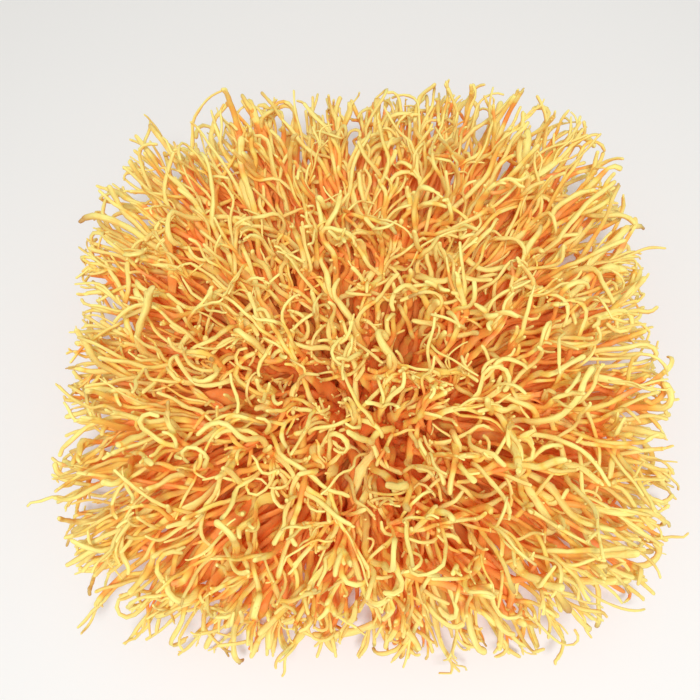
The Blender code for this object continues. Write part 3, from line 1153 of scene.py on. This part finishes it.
def mat_finish(wrinkles, drift, specks):
    """The felted mat: red orange felt with pinholes darkened by painted shade, straw-coloured where its
    threads are bare.
    """
    made, tree, shader = new_finish("felted_mat_skin")
    place = attribute_of(tree, "skin", "Vector")
    grain = group_node(tree, wrinkles, {"Place": place, "Coarse": 0.5, "Fine": 2.4, "Drawn Out": 1.0})
    patches = range_of(tree, noise_of(tree, place, BARE_SIZE, 4.0, 0.6), *BARE_RANGE)
    bare = math_of(tree, "MAXIMUM", patches, attribute_of(tree, "cut"))
    felt = mix_of(tree, grain["Height"], FELT_LOW, FELT_HIGH)
    colour = group_node(tree, drift, {
        "Place": place, "Size": 0.12, "Color": mix_of(tree, bare, felt, BARE_THREADS),
        "Amount": 0.35, "Dark": FELT_DARK, "Pale": FELT_PALE,
    })["Color"]
    holes = group_node(tree, specks, {"Place": place, "Scale": 0.55, "Width": 0.20, "Spread": 0.46})
    # The pinholes sink into the bump, and their dark red is painted shade.
    deep = times(tree, holes["Mask"], HOLE_DEPTH)
    colour = mix_of(tree, deep, colour, FELT_HOLE_SHADE)
    roughness = range_of(tree, grain["Height"], *FELT_ROUGHNESS)
    height = math_of(tree, "SUBTRACT", grain["Height"], deep)
    set_surface(tree, shader, colour, roughness, height, FELT_BUMP)
    shader.inputs["Specular IOR Level"].default_value = FELT_GLOSS
    return made


# --- The mat ---

MAT_AROUND = 160
MAT_TOP_RINGS = 44
MAT_SIDE_RINGS = 9
MAT_UNDER_RINGS = 20
MAT_INSET = 1.6
MAT_SHOULDER = 0.985
MAT_BULGE = 0.03
# Waves of the mat's outline: number round it, phase and height as a share of the radius.
MAT_EDGE_WAVES = ((5.0, 0.6, 0.010), (11.0, 2.0, 0.007))

# The ripples of the felt and of the cut: shortest wave, longest wave and height.
RIPPLES = 26
BROAD_LUMPS = (6.0, 22.0, 0.32)
FINE_LUMPS = (2.5, 5.0, 0.09)
CUT_MARKS = (4.0, 8.0, 0.30)
RIPPLE_HEIGHTS = (0.4, 1.0)
LUMP_SINK, LUMPS_FROM = 0.4, 0.25
SIDE_LUMPS = 0.6
MARKS_ABOVE = 0.6
DEEPEST_MARK = 0.9
MARKS_TO, MARKS_FADE = 0.95, 0.08


def ripples(draw, places, shortest, longest, height):
    """A smooth bumpy field from random plane waves."""
    total = np.zeros(len(places))
    for _ in range(RIPPLES):
        way = unit(draw.normal(size=3)) * TURN / draw.uniform(shortest, longest)
        phase = draw.uniform(0.0, TURN)
        total += height * draw.uniform(*RIPPLE_HEIGHTS) * np.sin(places @ way + phase)
    return total


def mat_profile():
    """Rings of the mat from the middle of the cut, round the edge and to the middle of the top.

    Each is its share of the outline, its height, and 1 on the cut underside or 0 elsewhere.
    """
    shares = np.linspace(0.0, MAT_SHOULDER, MAT_UNDER_RINGS)[1:]
    profile = [(share, 0.0, 1.0) for share in shares]
    for i in range(MAT_SIDE_RINGS):
        turn = math.pi * (i + 0.5) / MAT_SIDE_RINGS - 0.25 * TURN
        height = MAT_TOP * 0.5 * (1.0 + math.sin(turn))
        profile.append((MAT_SHOULDER + MAT_BULGE * math.cos(turn), height, 0.0))
    shares = np.linspace(MAT_SHOULDER, 0.0, MAT_TOP_RINGS)[:-1]
    return profile + [(share, MAT_TOP, 0.0) for share in shares]


def mat_outline(angle):
    """The mat's radius in each direction: a rounded square with a gently wavy edge."""
    waves = (height * np.sin(number * angle + phase) for number, phase, height in MAT_EDGE_WAVES)
    outline = rounded_square(angle, FOOT_SQUARENESS) * sum(waves, 1.0)
    return outline * ((HALF_MAT - MAT_INSET) / outline[:: MAT_AROUND // 4].mean())


def mat_faces(rings):
    """The loops and polygon sizes of the rings' quads and of the two fans that close them."""
    around = np.arange(MAT_AROUND)
    after = (around + 1) % MAT_AROUND
    quads = np.stack([around, after, after + MAT_AROUND, around + MAT_AROUND], 1)
    quads = np.arange(rings - 1)[:, None, None] * MAT_AROUND + quads
    under = np.full(MAT_AROUND, rings * MAT_AROUND)
    last = (rings - 1) * MAT_AROUND
    bottom = np.stack([under, after, around], 1)
    top = np.stack([last + around, last + after, under + 1], 1)
    loops = np.concatenate([quads.ravel(), bottom.ravel(), top.ravel()])
    totals = np.concatenate([np.full((rings - 1) * MAT_AROUND, 4), np.full(2 * MAT_AROUND, 3)])
    return loops, totals


def build_mat(draw, finish):
    """A lumpy felted pad with a soft top edge and a flat cut underside with shallow grain marks."""
    angle = np.arange(MAT_AROUND) * TURN / MAT_AROUND
    outline = mat_outline(angle)[:, None]
    profile = mat_profile()
    rings = [
        np.column_stack([share * outline * direction(angle), np.full(MAT_AROUND, height)])
        for share, height, _ in profile
    ]
    places = np.concatenate(rings + [np.array([[0.0, 0.0, 0.0], [0.0, 0.0, MAT_TOP]])])
    cut = np.concatenate([np.repeat([under for _, _, under in profile], MAT_AROUND), [1.0, 0.0]])
    lumps = ripples(draw, places, *BROAD_LUMPS) + ripples(draw, places, *FINE_LUMPS)
    places[:, 2] += smooth_step(LUMPS_FROM, 1.0, places[:, 2] / MAT_TOP) * (lumps - LUMP_SINK)
    marks = np.maximum(ripples(draw, places * LEVEL, *CUT_MARKS) - MARKS_ABOVE, 0.0)
    share = np.hypot(places[:, 0], places[:, 1]) / (HALF_MAT - MAT_INSET)
    places[:, 2] += cut * smooth_step(0.0, MARKS_FADE, MARKS_TO - share) * np.minimum(marks, DEEPEST_MARK)
    side = (1.0 - cut) * np.sin(np.clip(places[:, 2] / MAT_TOP, 0.0, 1.0) * math.pi)
    places += unit(places * LEVEL) * (side * SIDE_LUMPS * lumps)[:, None]
    places[:, :2] += MIDDLE[:2]
    values = {"skin": places, "cut": cut}
    return mesh_object("felted_mat", places * MM, *mat_faces(len(profile)), values, finish)


# --- Stage, light and camera ---

# From here on, lengths are in metres.
FLOOR_HALF = 3.0
FLOOR_COLOUR = srgb(240, 241, 242)
KEY_PLACE = np.array([0.013, -0.150, 0.464])
KEY_TARGET = np.array([0.0, 0.0, 0.03])
KEY_SIZE, KEY_WATTS, KEY_COLOUR = 0.08, 1.30, (0.97, 1.0, 1.0)
SKY_STRENGTH, SKY_COLOUR = 0.60, (1.0, 0.955, 0.89, 1.0)
VIEW_GAMMA = 1.20
DIFFUSE_BOUNCES = 16
CAMERA_LENS, CAMERA_SENSOR = 35.2, 36.0
CAMERA_AZIMUTH = math.radians(6.4)
CAMERA_ELEVATION = math.radians(70.6)
CAMERA_ROLL = math.radians(-7.6)
CAMERA_DISTANCE = 0.2115
CAMERA_TARGET = np.array([-0.0040, -0.0016, 0.040])


def facing(way):
    """The rotation that points a camera or lamp this way."""
    return Vector(way).to_track_quat("-Z", "Y")


def add_floor():
    """A wide plain pale floor."""
    mesh = bpy.data.meshes.new("floor")
    signs = ((-1, -1), (1, -1), (1, 1), (-1, 1))
    mesh.from_pydata([(x * FLOOR_HALF, y * FLOOR_HALF, 0.0) for x, y in signs], [], [(0, 1, 2, 3)])
    made, _, shader = new_finish("pale_floor")
    shader.inputs["Base Color"].default_value = FLOOR_COLOUR
    shader.inputs["Roughness"].default_value = 0.8
    mesh.materials.append(made)
    floor = bpy.data.objects.new("floor", mesh)
    bpy.context.scene.collection.objects.link(floor)


def add_key():
    """A small soft box high in front of the tuft."""
    lamp = bpy.data.lights.new("key", "AREA")
    lamp.size = KEY_SIZE
    lamp.energy = KEY_WATTS
    lamp.color = KEY_COLOUR
    made = bpy.data.objects.new("key", lamp)
    made.location = KEY_PLACE
    made.rotation_euler = facing(KEY_TARGET - KEY_PLACE).to_euler()
    bpy.context.scene.collection.objects.link(made)


def light_scene():
    """Warm even light from all round, and the key."""
    world = bpy.data.worlds.new("soft_studio")
    world.use_nodes = True
    background = world.node_tree.nodes["Background"]
    background.inputs["Color"].default_value = SKY_COLOUR
    background.inputs["Strength"].default_value = SKY_STRENGTH
    scene = bpy.context.scene
    scene.world = world
    add_key()
    scene.view_settings.view_transform = "Standard"
    scene.view_settings.gamma = VIEW_GAMMA
    scene.cycles.diffuse_bounces = DIFFUSE_BOUNCES


def add_camera():
    """The camera: high in front of the tuft, a little to the right of its middle, and rolled."""
    camera = bpy.data.cameras.new("camera")
    camera.lens = CAMERA_LENS
    camera.sensor_width = CAMERA_SENSOR
    camera.clip_start = 0.01
    made = bpy.data.objects.new("camera", camera)
    level = math.cos(CAMERA_ELEVATION)
    back = np.array([
        level * math.sin(CAMERA_AZIMUTH), -level * math.cos(CAMERA_AZIMUTH), math.sin(CAMERA_ELEVATION),
    ])
    made.location = CAMERA_TARGET + CAMERA_DISTANCE * back
    roll = Quaternion((0.0, 0.0, 1.0), CAMERA_ROLL)
    made.rotation_euler = (facing(-back) @ roll).to_euler()
    bpy.context.scene.collection.objects.link(made)
    bpy.context.scene.camera = made


# --- Putting it together ---


def bundle_parts(batches, looks, number):
    """What a bundle's mesh is made from: one dictionary of arrays for each batch it has strands of."""
    parts = []
    for batch, look in zip(batches, looks):
        own = np.flatnonzero(batch.bundle == number)
        if len(own):
            fields = {key: getattr(batch, key) for key in ("points", "wide", "thick", "rise", "tint", "sear")}
            parts.append({key: values[own] for key, values in {**fields, **look}.items()})
    return parts


def build_bundles(draw, batches, finish):
    """One piece a bundle, in place of its CAD solid."""
    lit = exposure(batches)
    corners = [tube_points(batch, draw) for batch in batches]
    skins = [skin_places(batch, draw) for batch in batches]
    looks = [dict(zip(("lit", "corners", "skin"), found)) for found in zip(lit, corners, skins)]
    number = 0
    for name, count, _, _ in RINGS:
        for i in range(count):
            node = name if count == 1 else f"{name}_{i + 1:02d}"
            piece = build_mesh("stems_" + node, bundle_parts(batches, looks, number), finish)
            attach(piece, "root")
            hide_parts(node)
            number += 1


def main():
    draw = np.random.default_rng(SEED)
    groups = wrinkle_group(), drift_group(), speck_group()
    stems, ribbon, fork = make_stems(draw)
    branches = side_branches(draw, stems)
    fingers = ribbon_fingers(draw, stems, ribbon, fork)
    stubs = tip_stubs(draw, stems)
    batches = [stems, branches, fingers, stubs, low_sprouts(draw, stems)]
    ease_apart(batches)
    settle_inside(batches)
    build_bundles(draw, batches, stem_finish(*groups))
    mat = build_mat(draw, mat_finish(*groups))
    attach(mat, "root")
    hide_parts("mat")
    add_floor()
    light_scene()
    add_camera()


main()
